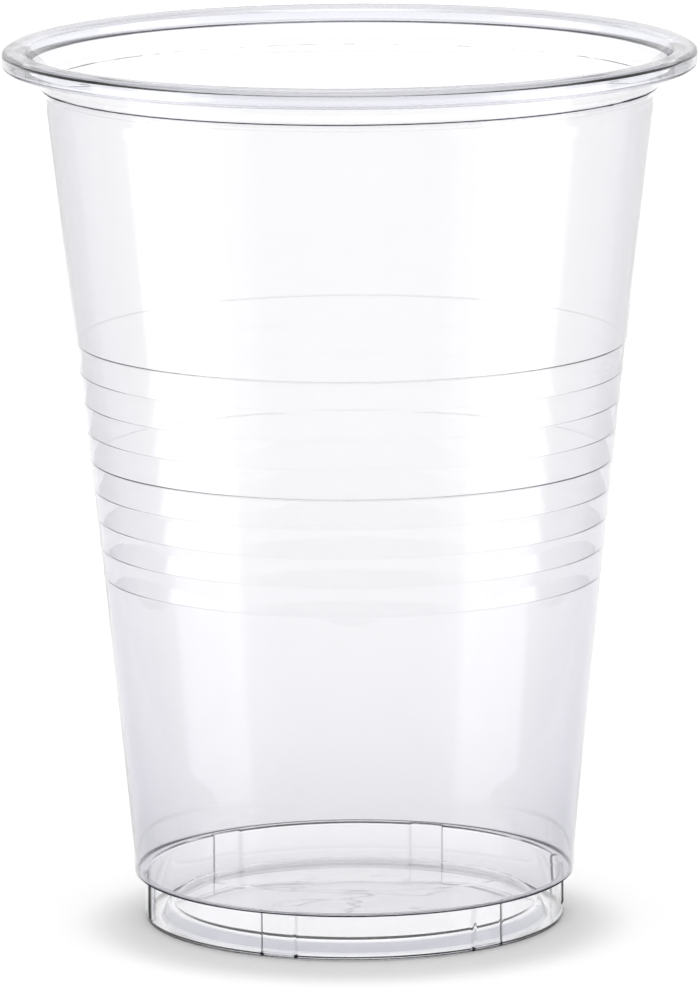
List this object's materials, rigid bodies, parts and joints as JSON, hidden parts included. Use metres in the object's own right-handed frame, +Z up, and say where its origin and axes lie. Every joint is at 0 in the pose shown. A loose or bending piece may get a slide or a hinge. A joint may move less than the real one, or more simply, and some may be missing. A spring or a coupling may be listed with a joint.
{
  "type": "plastic disposable cup",
  "caption": "Clear thin-walled tapered drinking cup with a rolled rim, shallow grip rings round its middle and a lugged foot ring under a raised floor.",
  "frame": {"origin": "centre of the circle on which the cup stands", "axes": "+Z up the cup's axis, from the foot ring to the rim; +X and +Y across it, -Y towards the camera of the picture"},
  "size_m": [0.095, 0.095, 0.1216],
  "materials": {
    "clear_plastic": "clear gloss"
  },
  "bodies": {
    "root": {"cup": "clear_plastic"}
  },
  "joints": []
}
